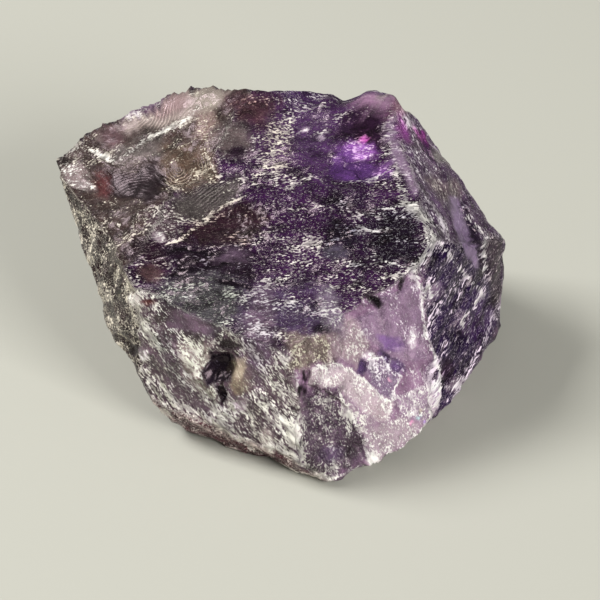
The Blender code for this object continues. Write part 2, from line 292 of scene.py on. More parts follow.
def scarred(ways, r, skin, place, normal, facing):
    """r with the scars taken out. A scar is a sphere's cap of a given reach and depth, and the
    direction u enters it at b - sqrt(b^2 - c.c + R^2), where c is its centre and b = c.u."""
    warp = SCAR_WARP * noise(skin, WARP_LENGTH, 61)

    def scar(at, reach, depth):
        radius = (reach * reach + depth * depth) / (2 * depth)
        centre = skin[at] - HEART + normal[at] * (radius - depth)
        b = ways @ centre
        left = b * b - centre @ centre + radius * radius
        return np.where((left > 0) & (b > 0), b - np.sqrt(np.maximum(left, 0)) + warp, np.inf)

    for spot, size, depth in SCARS:
        r = np.minimum(r, scar(shown_at(spot, place, facing), size, depth))
    for count, largest, share, front_share in STREWN_SCARS:
        for i in range(count):
            way = toward(GOLDEN_ANGLE * i, np.degrees(np.arcsin(1 - (2 * i + 1) / count)))
            at = (ways @ way).argmax()
            chance = 0.5 + 0.5 * noise(np.array([[i * 0.73, count, 0.5]]), 1.0, 5)[0]
            size = largest * (0.5 + 0.5 * chance)
            if facing[at] < 0.3:
                r = np.minimum(r, scar(at, size, share * size))
            elif front_share:
                size *= front_share
                r = np.minimum(r, scar(at, size, FRONT_SCAR_DEPTH * size))
    return r


def shown_at(spot, place, facing):
    """Index of the front-facing point that the front view shows at a place."""
    hidden = 99 * (facing < FRONT_EDGE)
    return (np.hypot(*(place - spot).T) + hidden).argmin()


def oval(places, middle, wide, high, turn=0.0):
    """Distance from the middle of a turned oval, 1 on its edge."""
    x, y = (places - middle).T
    c, s = cos(radians(turn)), sin(radians(turn))
    return np.hypot((x * c + y * s) / wide, (y * c - x * s) / high)


def relief(skin, place, facing):
    """Height that steps, slabs, pits, grooves and grain add at each point of the front."""
    fray = np.stack([noise(skin, FRAY_LENGTH, 91), noise(skin, FRAY_LENGTH, 92)], axis=1)
    frayed = place + FRAY * fray
    height = np.zeros(len(place))
    for step, fade, lip in STEPS:
        near, side, ends = nearest_on(frayed, lip)
        cliff = 0.5 + 0.5 * np.clip(side * near / STEP_WALL, -1, 1)
        height += step * cliff * np.exp(-near / fade) * rise(ends / STEP_ENDS)
    for step, outline in SLABS:
        height += step * rise(depth_inside(frayed, outline) / SLAB_WALL + 0.5)
    for middle, wide, high, turn, depth in PITS:
        height -= depth * rise(PIT_RIM - oval(frayed, middle, wide, high, turn))
    for half, depth, run in GROOVES:
        near, _, ends = nearest_on(frayed, run)
        height -= depth * rise(GROOVE_RIM - near / half) * rise(ends + 0.3)
    grain = np.column_stack([place / (GRAIN_LENGTH, GRAIN_PITCH), np.zeros(len(place))])
    level = GRAIN_LEVELS * (noise(grain, 1.0, 31) + 0.5 * noise(grain, 0.5, 32))
    stair = np.floor(level) + rise((level - np.floor(level)) / GRAIN_RISER) - level
    for middle, wide, high, step in GRAIN:
        height += step * stair * rise(1.5 - oval(place, middle, wide, high))
    return height * rise((facing - FRONT_EDGE) / FRONT_FADE)


def stone(ways):
    """Points of the stone in unit directions from HEART: the nearest fracture face, with its edges
    rounded (a soft minimum of the reaches), swellings (Gaussians), chips, scars, relief and a fine
    roughness, and with the base kept level. With them come the reach of every face at each point,
    the nearest face's normal and the place."""
    reach, face, normal, first, second = fracture_faces(ways)
    soft = np.exp(-(reach - first[:, None]) / EDGE_ROUNDING).sum(axis=1)
    r = first - EDGE_ROUNDING * np.log(soft)
    skin = HEART + ways * r[:, None]
    place = front_view(skin)
    facing = normal @ VIEW_OUT
    for spot, size, height in LUMPS:
        apart = skin - skin[shown_at(spot, place, facing)]
        r = r + height * np.exp(-(apart * apart).sum(axis=1) / size**2)
    skin = HEART + ways * r[:, None]
    chip = rise(noise(skin, CHIP_LENGTH, 81) + 0.3) * np.exp((first - second) / CHIP_BORDER)
    r = scarred(ways, r - CHIP_DEPTH * chip, skin, place, normal, facing)
    r = r + relief(skin, place, facing)
    r = r + ROUGHNESS * (noise(skin, 1.5, 71) + 0.6 * noise(skin, 0.7, 72))
    r = r + CRUMB * (noise(skin, 0.42, 73) + 0.6 * noise(skin, 0.22, 74))
    base = reach[:, -1]
    level = (face == len(FACES) - 1) * rise((second - first) / LEVEL_BORDER)
    points = HEART + ways * (np.minimum(r, base) * (1 - level) + base * level)[:, None]
    return points, reach, normal, front_view(points)


# The mesh: a cube's six faces, each a grid of GRID by GRID quads, blown up to a ball of directions
# and drawn towards the front view, where it has to be finest. The faces' shared rims merge.
MM = 0.001
GRID = 127
FRONT_PULL = 0.30


def ball(count):
    """Unit directions (1, tan p, tan q) and its turns for p, q from -45 to 45 degrees, plus
    FRONT_PULL times the front view's direction, scaled back to length 1, and their quads."""
    slope = np.tan(np.radians(np.linspace(-45, 45, count + 1)))
    p, q = np.meshgrid(slope, slope, indexing="ij")
    one = np.ones_like(p)
    sides = ((one, p, q), (-one, -p, q), (-p, one, q), (p, -one, q), (-q, p, one), (q, p, -one))
    ways = np.stack([np.stack(side, axis=-1) for side in sides])
    ways /= np.linalg.norm(ways, axis=-1, keepdims=True)
    rounded = np.round(ways.reshape(-1, 3), 6)
    _, kept, index = np.unique(rounded, axis=0, return_index=True, return_inverse=True)
    index = index.reshape(ways.shape[:3])
    corners = (index[:, :-1, :-1], index[:, 1:, :-1], index[:, 1:, 1:], index[:, :-1, 1:])
    ways = ways.reshape(-1, 3)[kept] + FRONT_PULL * VIEW_OUT
    ways /= np.linalg.norm(ways, axis=1, keepdims=True)
    return ways, np.stack(corners, axis=-1).reshape(-1, 4)


ways, quads = ball(GRID)
points, reach, normal, place = stone(ways)
facing = normal @ VIEW_OUT
mesh = bpy.data.meshes.new("amethyst_stone")
mesh.from_pydata((points * MM).tolist(), [], quads.tolist())
mesh.shade_smooth()
lump = bpy.data.objects.new("amethyst_stone", mesh)
bpy.context.scene.collection.objects.link(lump)


# The finish of the stone: clear violet quartz under a skin that is glassy in the scars and bruised to
# a white frost on its edges. It is painted on the points, by face first and then by place, as a deep
# colour, the frost's colour, how much of the skin the frost covers and how clear the rest is.
def linear(code):
    """sRGB hex to linear: c / 12.92 to 0.04045, then ((c + 0.055) / 1.055)^2.4."""
    c = np.array([int(code[i : i + 2], 16) for i in (1, 3, 5)]) / 255
    return np.where(c <= 0.04045, c / 12.92, ((c + 0.055) / 1.055) ** 2.4)


FACE_FINISH = {
    "crown": ("#3C1A46", "#E8E0D8", 0.20, 0.5),
    "bench": ("#40352F", "#DCD2C0", 0.09, 0.15),
    "right_shoulder": ("#5C4A62", "#DCD2D8", 0.24, 0.4),
    "right_cheek": ("#220440", "#FCE8F8", 0.20, 0.5),
    "right_end": ("#30183A", "#E8E0E2", 0.21, 0.5),
    "under_right": ("#4A3452", "#D0C8CC", 0.20, 0.6),
    "under_front": ("#665668", "#E8E0E0", 0.34, 0.3),
    "ledge": ("#967A92", "#E0D4DA", 0.18, 0.25),
    "brow": ("#5E4C60", "#D8D2CC", 0.28, 0.4),
    "nose": ("#A8A09A", "#FCFAEC", 0.56, 0.15),
    "front_left": ("#62525A", "#F8F4E8", 0.42, 0.3),
    "left_wall": ("#241216", "#F4EAD6", 0.32, 0.3),
    "left_under": ("#3E2A34", "#DCD6CA", 0.32, 0.4),
    "left_foot": ("#4A303A", "#E8E2D4", 0.39, 0.3),
    "brown_rim": ("#5A142C", "#FFECE6", 0.31, 0.4),
    "left_tip": ("#8A7A72", "#FFFEF2", 0.57, 0.2),
    "back_left_tip": ("#70605A", "#E4DCCC", 0.30, 0.4),
    "back_left": ("#70586A", "#E0D6CE", 0.20, 0.4),
    "back": ("#5A3E72", "#DCD2DC", 0.26, 0.4),
    "back_right": ("#644A78", "#DED4DC", 0.24, 0.4),
    "back_foot": ("#54406A", "#D4CAD2", 0.26, 0.4),
    "toe": ("#5C4652", "#D4CCC6", 0.26, 0.5),
    "tip_brow": ("#6E5E5A", "#E6E2D4", 0.30, 0.4),
    "base": ("#503C50", "#C8C0C0", 0.30, 0.4),
}

# Clouds that every side has: milky quartz, and dark clear quartz.
MILKY = ("#9A869C", "#F0EAEC", 0.36, 0.2)
DARK = ("#2C1438", "#C8BCC8", 0.08, 0.6)

# Regions of the front: width of the border that blends them in, outline, deep colour, frost colour,
# frost, clearness.
REGIONS = (
    # the smooth pale band along the top left, pale with painted light, the bright surroundings
    # reflected in it and seen through it, the shell scars below it with grey-green painted sheen, and
    # the dark scoop
    (1, ((-19.6, 16.9), (-14.8, 19.6), (-11.6, 20.9), (-6.5, 21.2), (-8.5, 19.6), (-9.8, 18.6),
      (-11.2, 17.8), (-15.0, 17.0), (-18.0, 16.8), (-20.2, 16.2)), "#9A9486", "#DCD4C6", 0.08, 0.1),
    (1.6, ((-8.0, 20.4), (-1.5, 20.6), (-1.8, 17.8), (-6.0, 17.6)), "#4C323A", "#C49C98", 0.12, 0.3),
    (1.6, ((-9.6, 18.2), (-5.0, 17.4), (-4.6, 14.8), (-8.6, 14.6)), "#5C5450", "#D0CAC0", 0.14, 0.15),
    (1, ((-13.8, 15.2), (-9.4, 15.6), (-8.4, 12.0), (-11.6, 10.6), (-14.0, 11.8)), "#5C4E3E",
      "#E8DCC6", 0.10, 0.1),
    (1.2, ((-19.4, 12.8), (-14.4, 13.6), (-13.6, 11.0), (-15.4, 9.8), (-19.2, 10.4)), "#1C1216",
      "#8C7A74", 0.00, 0.15),
    # grey-green painted sheen on a scoop
    (1.2, ((-18.6, 15.2), (-14.2, 16.4), (-13.6, 14.0), (-18.0, 13.4)), "#6A665E", "#D4CEC2",
      0.12, 0.1),
    # grey-green painted sheen on the scoop below the shell scars
    (1.2, ((-13.2, 10.4), (-6.0, 12.4), (-5.8, 10.0), (-9.8, 7.4), (-12.4, 7.2)), "#484641",
      "#D4CEC0", 0.05, 0.1),
    (1.2, ((-12.6, 5.6), (-9.0, 8.8), (-5.4, 10.0), (-3.0, 8.0), (-5.4, 5.2)), "#2A1520", "#CCB4AC",
      0.07, 0.3),
    (1.5, ((-17.0, 6.6), (-13.4, 5.6), (-14.0, 3.6), (-17.4, 4.0)), "#2A1426", "#C0B0AC", 0.14, 0.6),
    (1.5, ((-13.6, 5.4), (-5.2, 5.2), (-5.0, 2.0), (-12.6, 1.6)), "#201022", "#9C909C", 0.08, 0.6),
    # the foot of the crown: grey-green on the left, mauve haze, violet in the middle
    (2.5, ((-14.2, 1.6), (-5.4, 1.8), (-5.2, -2.4), (-9.4, -2.6), (-13.8, -1.0)), "#4C4E4E",
      "#CCD0C2", 0.18, 0.4),
    (3, ((-5.4, 1.4), (3.0, 1.2), (3.6, -2.8), (-2.6, -3.6), (-5.2, -2.6)), "#544660", "#D0CACC",
      0.20, 0.4),
    # the deep crown: violet window, painted shade under an overhang, and dark hollows
    (3, ((-1.2, 20.4), (4.2, 20.2), (4.2, 12.4), (-0.6, 12.2)), "#583A66", "#D8D0CC", 0.10, 0.6),
    # painted shade under the overhang at the top of the recess near the back
    (1.2, ((4.4, 18.8), (8.2, 18.8), (8.8, 14.8), (6.8, 14.6), (5.0, 15.8)), "#341C36", "#7C5A70",
      0.04, 0.7),
    (0.8, ((3.2, 13.9), (5.0, 14.2), (8.6, 13.2), (9.6, 12.2), (6.0, 11.8), (3.4, 12.2)), "#5E3C78",
      "#B084B8", 0.06, 0.5),
    (2, ((2.4, 11.2), (6.6, 11.2), (6.6, 8.8), (2.8, 8.8)), "#1C0826", "#D0C4CC", 0.15, 0.5),
    (1.5, ((3.2, 7.8), (6.2, 7.8), (6.0, 5.2), (3.0, 5.4)), "#140A1C", "#A09AA8", 0.12, 0.7),
    (2.5, ((6.6, 8.6), (12.6, 8.2), (12.8, 3.6), (6.4, 3.0)), "#180A22", "#D4CED4", 0.14, 0.5),
    # the right shoulder: frosted strip, smooth band, dark violet strip, brown patch, channel with its
    # groove darkened by painted shade, sliver
    (0.4, ((8.3, 19.3), (9.3, 18.8), (10.4, 15.0), (11.8, 11.4), (11.6, 10.2), (9.4, 14.2),
      (8.6, 16.4)), "#867688", "#D0C2CC", 0.34, 0.3),
    (0.5, ((10.2, 18.0), (11.2, 17.4), (12.6, 15.0), (14.0, 12.4), (13.2, 12.2), (11.6, 14.4),
      (10.6, 16.4)), "#6A5C6C", "#F0E8EC", 0.34, 0.4),
    (0.5, ((11.3, 17.2), (12.4, 16.8), (13.8, 14.4), (13.4, 13.6), (12.4, 14.8)), "#442452",
      "#C070B8", 0.06, 0.8),
    (1, ((12.6, 12.4), (15.8, 12.0), (16.6, 10.2), (14.4, 9.8), (12.8, 10.8)), "#6C6064", "#D0C4BE",
      0.30, 0.3),
    (0.4, ((14.9, 10.2), (15.7, 10.2), (17.2, 6.4), (18.2, 3.4), (17.6, 3.2), (15.6, 7.0)),
      "#8A7C94", "#D8CCDC", 0.08, 0.3),
    # the groove, painted dark as shade
    (0.4, ((15.8, 10.2), (16.4, 9.8), (18.4, 5.4), (18.4, 3.0), (17.4, 5.6)), "#241630", "#8C7C92",
      0.03, 0.8),
    (1, ((18.6, 6.4), (20.2, 6.4), (20.4, 1.0), (19.8, -2.2), (18.4, 2.6)), "#301E34", "#E0D0D0",
      0.21, 0.6),
    (0.5, ((17.8, -5.6), (20.4, -2.2), (20.4, -3.2), (18.4, -5.6), (17.4, -6.9)), "#7C6A7A",
      "#D0C4CA", 0.08, 0.6),
    (1, ((17.2, 1.0), (19.6, -0.6), (20.0, -2.2), (17.6, -4.6), (16.6, -2.6)), "#401E5A", "#F4E4F0",
      0.22, 0.6),
    # the lilac ledge, its rough left end, the hollow, the white slab and what is below it
    (0.4, ((5.6, -1.6), (7.4, -0.7), (7.9, 0.5), (9.8, 0.9), (10.5, 2.0), (11.5, 2.3), (12.0, 0.9),
      (12.4, -3.5), (12.6, -6.0), (9.4, -5.8), (7.4, -4.4), (6.0, -2.8)), "#8E7A8E", "#E8DCE4",
      0.16, 0.15),
    (1, ((3.6, -2.0), (5.4, -1.6), (7.0, -4.4), (6.2, -6.4), (3.2, -6.2)), "#A09294", "#E8E2DC",
      0.34, 0.1),
    (0.8, ((6.2, -6.2), (8.2, -5.2), (10.4, -6.4), (9.6, -8.4), (9.3, -9.9), (8.2, -9.6),
      (7.0, -8.4)), "#84748A", "#F4ECF0", 0.32, 0.15),
    (0.25, ((0.7, -8.5), (1.3, -6.9), (3.0, -6.3), (5.1, -6.9), (6.7, -8.2), (8.2, -9.8),
      (9.3, -10.0), (9.0, -12.0), (7.6, -12.2), (5.6, -10.4), (3.8, -8.7), (2.2, -8.8)), "#C0B6B6",
      "#FCFAF2", 0.38, 0.05),
    (0.6, ((4.2, -9.2), (5.6, -10.6), (7.6, -12.2), (6.4, -13.4), (5.7, -12.9), (4.6, -10.4)),
      "#A0929A", "#F0ECE4", 0.40, 0.1),
    (0.6, ((9.3, -10.2), (11.8, -8.8), (13.6, -8.4), (13.7, -10.5), (12.5, -12.5), (10.6, -11.6)),
      "#A292A0", "#F8F4EE", 0.40, 0.1),
    (0.8, ((6.4, -13.2), (7.8, -12.4), (10.4, -11.8), (12.4, -12.8), (10.8, -14.6), (7.6, -16.6),
      (6.6, -15.2)), "#A89CA0", "#FAF6F0", 0.33, 0.1),
    # the nose: olive top, dark lower half
    (1.5, ((-1.6, -3.4), (3.8, -3.4), (3.2, -6.2), (0.8, -7.6), (-1.4, -7.0)), "#7A7066", "#DCD6BE",
      0.34, 0.2),
    (1.2, ((0.0, -8.8), (4.0, -9.0), (5.6, -13.0), (6.8, -16.0), (3.0, -17.8), (-0.6, -16.6),
      (-0.4, -12.0)), "#5A4A5A", "#CCC8C0", 0.34, 0.3),
    # the front left: streaked plane, pale rim of the pit, the pit and a smaller one below it,
    # near-black with painted shade, olive flank and brown rim
    (1, ((-15.2, -2.6), (-13.4, -4.4), (-10.6, -8.4), (-6.4, -11.8), (-6.0, -13.4), (-9.4, -11.6),
      (-12.6, -10.2), (-13.4, -7.4)), "#64565E", "#E4E0D8", 0.30, 0.3),
    (0.8, ((-12.4, -5.0), (-11.2, -4.2), (-8.6, -4.4), (-9.6, -7.8), (-7.4, -10.6), (-9.8, -9.2),
      (-11.8, -7.4)), "#9A9288", "#FAFAEA", 0.46, 0.1),
    # painted shade in the two pits
    (0.5, ((-10.1, -7.4), (-8.8, -5.2), (-6.7, -5.6), (-6.9, -7.4), (-8.0, -8.3), (-9.4, -8.8)),
      "#1E1422", "#807888", 0.04, 0.5),
    (0.4, ((-8.4, -8.6), (-7.4, -8.7), (-7.4, -9.6), (-8.0, -10.6)), "#1E1422", "#807888", 0.04, 0.5),
    (0.8, ((-6.9, -6.2), (-5.2, -5.6), (-4.6, -8.6), (-6.2, -9.4), (-7.0, -8.2)), "#8C826A",
      "#DCD8B4", 0.22, 0.2),
    (0.4, ((-12.9, -11.2), (-11.4, -11.6), (-9.8, -12.5), (-8.0, -13.4), (-6.2, -14.6),
      (-4.5, -15.5), (-3.0, -15.8), (-5.4, -15.8), (-8.9, -14.4), (-10.6, -14.0), (-12.5, -13.0)),
      "#5A142C", "#FFECE6", 0.32, 0.4),
)

# Spots of the front: place, half width, half height, turn in degrees, deep colour, frost colour,
# frost, clearness.
SPOTS = (
    ((-9.2, 20.0), 1.3, 1.1, 30, "#A8A592", "#E0DEC8", 0.10, 0.5),
    ((-13.0, 19.4), 1.6, 0.8, 24, "#A4928A", "#D8CCC0", 0.05, 0.5),
    ((-10.6, 20.9), 0.6, 0.25, 15, "#2E2428", "#8C8480", 0.10, 0.5),
    ((-9.4, 17.6), 0.9, 1.4, -20, "#86766A", "#E8DCC6", 0.26, 0.1),
    ((-18.8, 16.4), 1.2, 0.9, 10, "#665050", "#C0B0AC", 0.10, 0.2),
    ((-19.7, 11.7), 0.8, 1.2, 10, "#5A3432", "#CCB0A4", 0.08, 0.1),
    ((-22.4, 12.6), 1.1, 0.9, 20, "#8C827A", "#FFFEF6", 0.42, 0.1),
    ((-21.6, 11.4), 0.8, 0.5, -20, "#A09890", "#FFFEF8", 0.55, 0.3),
    ((-22.6, 15.0), 1.0, 0.9, 0, "#5E544E", "#D8D2C4", 0.34, 0.4),
    ((-24.0, 13.6), 0.4, 0.9, -15, "#241C1C", "#9C968C", 0.15, 0.4),
    ((-13.6, 7.6), 1.4, 1.8, 20, "#4A3A40", "#DCD4CC", 0.24, 0.3),
    ((-14.0, 6.2), 0.6, 0.4, 0, "#A49C9C", "#F0ECE6", 0.55, 0.2),
    ((-15.0, 2.7), 1.1, 0.8, 0, "#5C4646", "#A8988C", 0.06, 0.5),
    ((-7.0, 4.2), 1.5, 0.8, 0, "#5C4E5C", "#9C92A0", 0.04, 0.4),
    ((-10.0, 4.9), 2.2, 0.25, -4, "#0E0812", "#585058", 0.05, 0.5),
    ((-8.4, 3.4), 1.6, 0.25, 3, "#0E0812", "#585058", 0.05, 0.5),
    ((-6.8, 1.7), 1.6, 0.25, -6, "#140C18", "#585058", 0.05, 0.5),
    ((-11.4, 2.7), 1.8, 0.25, 8, "#140C18", "#585058", 0.05, 0.5),
    # A painted glow: light coming through the stone from behind, painted bright violet in the recess
    # near the back with darker violet round it.
    ((5.8, 14.9), 1.5, 0.75, -14, "#B070CC", "#FFD8FF", 0.40, 0.4),
    ((4.4, 14.4), 1.0, 0.7, 30, "#8858A8", "#D8A8E0", 0.20, 0.5),
    ((8.2, 13.1), 0.9, 0.5, -20, "#8C58A4", "#D0A0D8", 0.12, 0.5),
    ((6.3, 16.2), 0.3, 0.3, 0, "#B44AA4", "#E870D0", 0.30, 0.5),
    ((7.6, 19.9), 2.2, 0.8, 5, "#A2829A", "#D0BCC6", 0.10, 0.3),
    ((8.4, 20.4), 0.8, 0.5, 0, "#A49C98", "#DCD8D0", 0.30, 0.3),
    ((9.9, 19.4), 0.8, 0.8, 30, "#8E6878", "#E0C4C8", 0.25, 0.4),
    ((10.4, 17.4), 0.35, 1.3, 18, "#9A4E9C", "#E8A0E0", 0.20, 0.6),
    ((12.0, 16.5), 0.25, 1.0, 38, "#A850A0", "#E090D0", 0.10, 0.7),
    ((14.2, 14.6), 0.7, 1.2, 35, "#8A8A82", "#DCDCD0", 0.28, 0.4),
    ((4.4, 17.0), 0.9, 0.6, 0, "#3A2640", "#94708C", 0.05, 0.6),
    ((-2.2, 15.4), 1.4, 2.6, 14, "#5A4260", "#E8DCCC", 0.28, 0.5),
    ((0.6, 17.0), 0.35, 0.3, 0, "#B4A8B4", "#F0E8E8", 0.50, 0.2),
    ((2.2, 16.3), 0.5, 0.3, -20, "#B4A8B4", "#F0E8E8", 0.50, 0.2),
    ((-6.2, 14.9), 1.0, 0.5, 0, "#2C1C2C", "#988890", 0.08, 0.6),
    ((3.5, 4.8), 1.2, 0.6, 0, "#5C5866", "#A8A4AC", 0.10, 0.4),
    # painted shade: near-black in two pits on the right
    ((7.3, 0.0), 0.9, 0.45, -35, "#0C0810", "#606058", 0.03, 0.4),
    ((10.2, 1.6), 0.8, 0.22, 55, "#0C0810", "#606058", 0.03, 0.4),
    ((2.6, -2.7), 1.0, 0.6, 0, "#1C1420", "#706C74", 0.08, 0.4),
    ((2.4, -0.4), 1.2, 0.7, 10, "#30203A", "#A09CA0", 0.16, 0.4),
    ((3.2, -1.2), 0.9, 2.2, 20, "#7C7280", "#D4D0CC", 0.34, 0.3),
    ((7.2, -5.7), 0.55, 0.42, 0, "#D8D0D4", "#FFFEFA", 0.70, 0.0),
    ((8.5, -5.5), 0.3, 0.75, 25, "#5E4676", "#B8A8C8", 0.04, 0.4),
    ((6.3, -6.7), 0.4, 0.6, 0, "#523C68", "#B0A0C0", 0.04, 0.4),
    ((9.8, -6.5), 0.45, 0.5, 20, "#6E5684", "#C0B0CC", 0.06, 0.4),
    ((9.2, -4.3), 1.2, 0.6, -20, "#8A6CA0", "#D0C0D8", 0.08, 0.3),
    ((11.2, -3.8), 0.35, 0.9, 5, "#C4B8C0", "#F4F0F0", 0.50, 0.1),
    ((7.8, -11.2), 1.1, 0.7, -30, "#B8ACAC", "#FFFDF6", 0.36, 0.0),
    ((7.3, -16.0), 0.6, 0.6, 30, "#CCC4C0", "#FFFDF6", 0.65, 0.0),
    ((13.8, -8.8), 0.25, 2.0, -6, "#B4A8B4", "#FFFFFA", 0.46, 0.0),
    ((13.2, 0.8), 0.9, 0.7, 20, "#7C6C80", "#F0ECE8", 0.50, 0.3),
    ((16.4, -2.8), 0.7, 0.6, -30, "#6C5878", "#E8E0E4", 0.40, 0.4),
    ((15.6, -8.2), 0.8, 0.6, 30, "#807080", "#F0E8EA", 0.46, 0.3),
    ((14.6, -7.0), 0.7, 1.0, 0, "#2E1238", "#B090B0", 0.10, 0.7),
    # painted shade in a pit low on the front
    ((5.4, -14.6), 0.8, 1.2, -20, "#443842", "#B8B4B0", 0.24, 0.3),
    ((3.2, -15.4), 1.2, 0.8, 10, "#5C4C64", "#B8B0B8", 0.18, 0.3),
    # painted shade in the small pit of the nose
    ((0.4, -7.5), 0.2, 0.4, 0, "#181018", "#706868", 0.05, 0.3),
    ((0.1, -8.9), 0.22, 0.4, 15, "#181018", "#706868", 0.05, 0.3),
    ((-2.6, -4.2), 0.3, 0.9, 5, "#2C202C", "#8C8484", 0.10, 0.3),
    ((-0.3, -13.1), 0.42, 0.95, 0, "#C8C0B8", "#FFFDF4", 0.60, 0.0),
    ((-3.3, -14.1), 0.7, 0.9, 20, "#B0A8A0", "#FCF8EE", 0.52, 0.0),
    ((-4.2, -3.4), 1.4, 4.4, -8, "#685868", "#D0C8CC", 0.18, 0.3),
    ((-11.0, -2.4), 2.2, 0.8, -12, "#7E6C7A", "#D0C6CA", 0.14, 0.3),
    ((-10.8, 0.3), 0.9, 0.3, 0, "#6C6C6C", "#F4F4EC", 0.38, 0.3),
    ((-16.4, 0.0), 0.75, 0.5, -30, "#A89E94", "#FFFDF2", 0.55, 0.0),
    ((-15.7, -5.5), 0.3, 0.55, 15, "#C8C2C0", "#FCFAF4", 0.70, 0.0),
    ((-16.5, -5.0), 0.6, 0.35, 0, "#1C1416", "#88807C", 0.08, 0.4),
    ((-15.0, 0.0), 0.6, 0.3, 0, "#6C4440", "#B89890", 0.12, 0.4),
    ((-14.0, -1.9), 0.5, 0.6, -30, "#4C4644", "#F4F4EA", 0.30, 0.2),
    ((-13.6, -3.9), 0.9, 1.1, -30, "#4E4648", "#FAFAF0", 0.42, 0.2),
    ((-7.2, -4.6), 1.0, 0.5, 0, "#2A2426", "#98948C", 0.12, 0.4),
    ((-6.1, -7.0), 0.4, 0.8, -15, "#BCB496", "#F0ECCC", 0.30, 0.1),
    ((-6.0, -10.3), 0.5, 0.9, -25, "#A898A0", "#F0EAE8", 0.50, 0.1),
    ((-13.4, -11.6), 0.3, 0.6, 0, "#C4BEB4", "#F8F6EC", 0.60, 0.0),
)

# A thin crack near the skin splits the light into small fringes of colour at the lilac foot: place,
# half width, turn in degrees, colour.
FRINGES = (
    ((8.9, -7.8), 0.16, -30, "#E8B4C8"),
    ((11.2, -12.4), 0.24, 40, "#F0B0D0"),
    ((11.8, -11.8), 0.18, 10, "#B4DCD8"),
    ((12.3, -11.2), 0.18, -20, "#ECE0B4"),
    ((12.5, -12.2), 0.16, 0, "#CCB8F0"),
)

